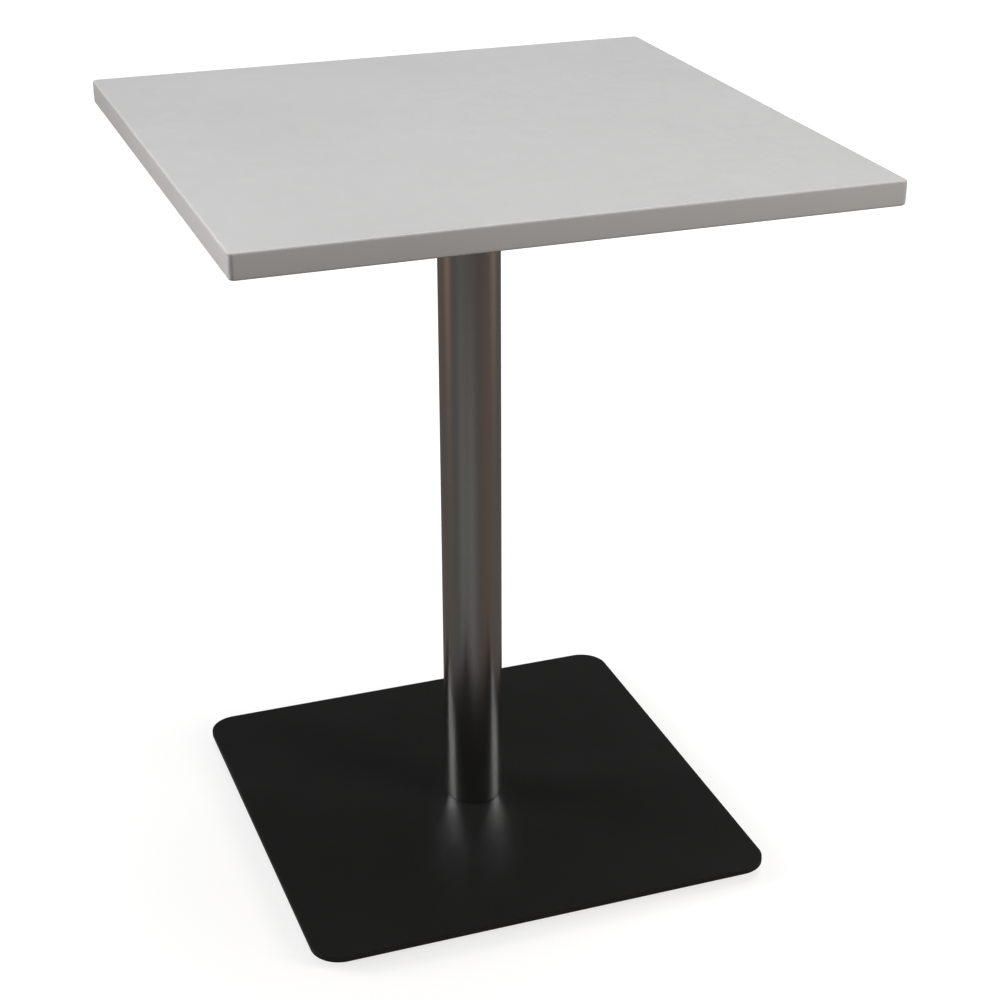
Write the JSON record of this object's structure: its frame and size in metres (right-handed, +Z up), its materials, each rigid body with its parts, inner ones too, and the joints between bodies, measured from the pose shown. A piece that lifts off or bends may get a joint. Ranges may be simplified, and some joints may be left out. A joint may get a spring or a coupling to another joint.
{
  "type": "bistro table",
  "caption": "Square cafe table with a pale moulded top, a round brushed steel column and a thin black steel base plate on levelling feet.",
  "frame": {"origin": "on the floor under the middle of the table, with the feet screwed in", "axes": "+Z up, -Y towards the front edge, +X along the front edge to the right"},
  "size_m": [0.6, 0.6, 0.75],
  "materials": {
    "decor_laminate": "pale grey pressed decor skin, semi-gloss",
    "fibre_board": "pressed wood-fibre core, hidden",
    "balancing_film": "pale grey film, dull",
    "insert_brass": "turned, satin",
    "zinc_steel": "bright zinc plated",
    "black_steel": "black powder coat, satin",
    "boss_steel": "turned steel",
    "brushed_stainless": "satin, brushed round the tube",
    "gasket_rubber": "matt black",
    "pad_plastic": "moulded black nylon"
  },
  "bodies": {
    "table": {"tabletop_skin": "decor_laminate", "tabletop_core": "fibre_board", "tabletop_backer": "balancing_film", "tabletop_inserts": "insert_brass", "tabletop_washers": "zinc_steel", "tabletop_screws": "zinc_steel", "mounting_plate": "black_steel", "column_head_screws": "zinc_steel", "column_head_boss": "boss_steel", "column_tube": "brushed_stainless", "column_foot_boss": "boss_steel", "column_gasket": "gasket_rubber", "base_plate": "black_steel", "column_foot_screws": "zinc_steel", "leveller_bush_front_left": "black_steel", "leveller_bush_front_right": "black_steel", "leveller_bush_back_left": "black_steel", "leveller_bush_back_right": "black_steel"},
    "pad_front_left": {"leveller_pad_front_left": "pad_plastic"},
    "stud_front_left": {"leveller_stud_front_left": "zinc_steel"},
    "pad_front_right": {"leveller_pad_front_right": "pad_plastic"},
    "stud_front_right": {"leveller_stud_front_right": "zinc_steel"},
    "pad_back_left": {"leveller_pad_back_left": "pad_plastic"},
    "stud_back_left": {"leveller_stud_back_left": "zinc_steel"},
    "pad_back_right": {"leveller_pad_back_right": "pad_plastic"},
    "stud_back_right": {"leveller_stud_back_right": "zinc_steel"}
  },
  "joints": [
    {"name": "travel_front_left", "type": "slide", "parent": "table", "child": "pad_front_left", "axis": [0, 0, -1], "range_m": [0, 0.00375]},
    {"name": "turn_front_left", "type": "hinge", "parent": "pad_front_left", "child": "stud_front_left", "pos_m": [-0.182, -0.182, 0], "axis": [0, 0, -1], "range_deg": [0, 1080]},
    {"name": "travel_front_right", "type": "slide", "parent": "table", "child": "pad_front_right", "axis": [0, 0, -1], "range_m": [0, 0.00375]},
    {"name": "turn_front_right", "type": "hinge", "parent": "pad_front_right", "child": "stud_front_right", "pos_m": [0.182, -0.182, 0], "axis": [0, 0, -1], "range_deg": [0, 1080]},
    {"name": "travel_back_left", "type": "slide", "parent": "table", "child": "pad_back_left", "axis": [0, 0, -1], "range_m": [0, 0.00375]},
    {"name": "turn_back_left", "type": "hinge", "parent": "pad_back_left", "child": "stud_back_left", "pos_m": [-0.182, 0.182, 0], "axis": [0, 0, -1], "range_deg": [0, 1080]},
    {"name": "travel_back_right", "type": "slide", "parent": "table", "child": "pad_back_right", "axis": [0, 0, -1], "range_m": [0, 0.00375]},
    {"name": "turn_back_right", "type": "hinge", "parent": "pad_back_right", "child": "stud_back_right", "pos_m": [0.182, 0.182, 0], "axis": [0, 0, -1], "range_deg": [0, 1080]}
  ],
  "couplings": [
    {"joint": "travel_front_left", "follows": "turn_front_left", "m_per_rad": 0.00019894},
    {"joint": "travel_front_right", "follows": "turn_front_right", "m_per_rad": 0.00019894},
    {"joint": "travel_back_left", "follows": "turn_back_left", "m_per_rad": 0.00019894},
    {"joint": "travel_back_right", "follows": "turn_back_right", "m_per_rad": 0.00019894}
  ]
}
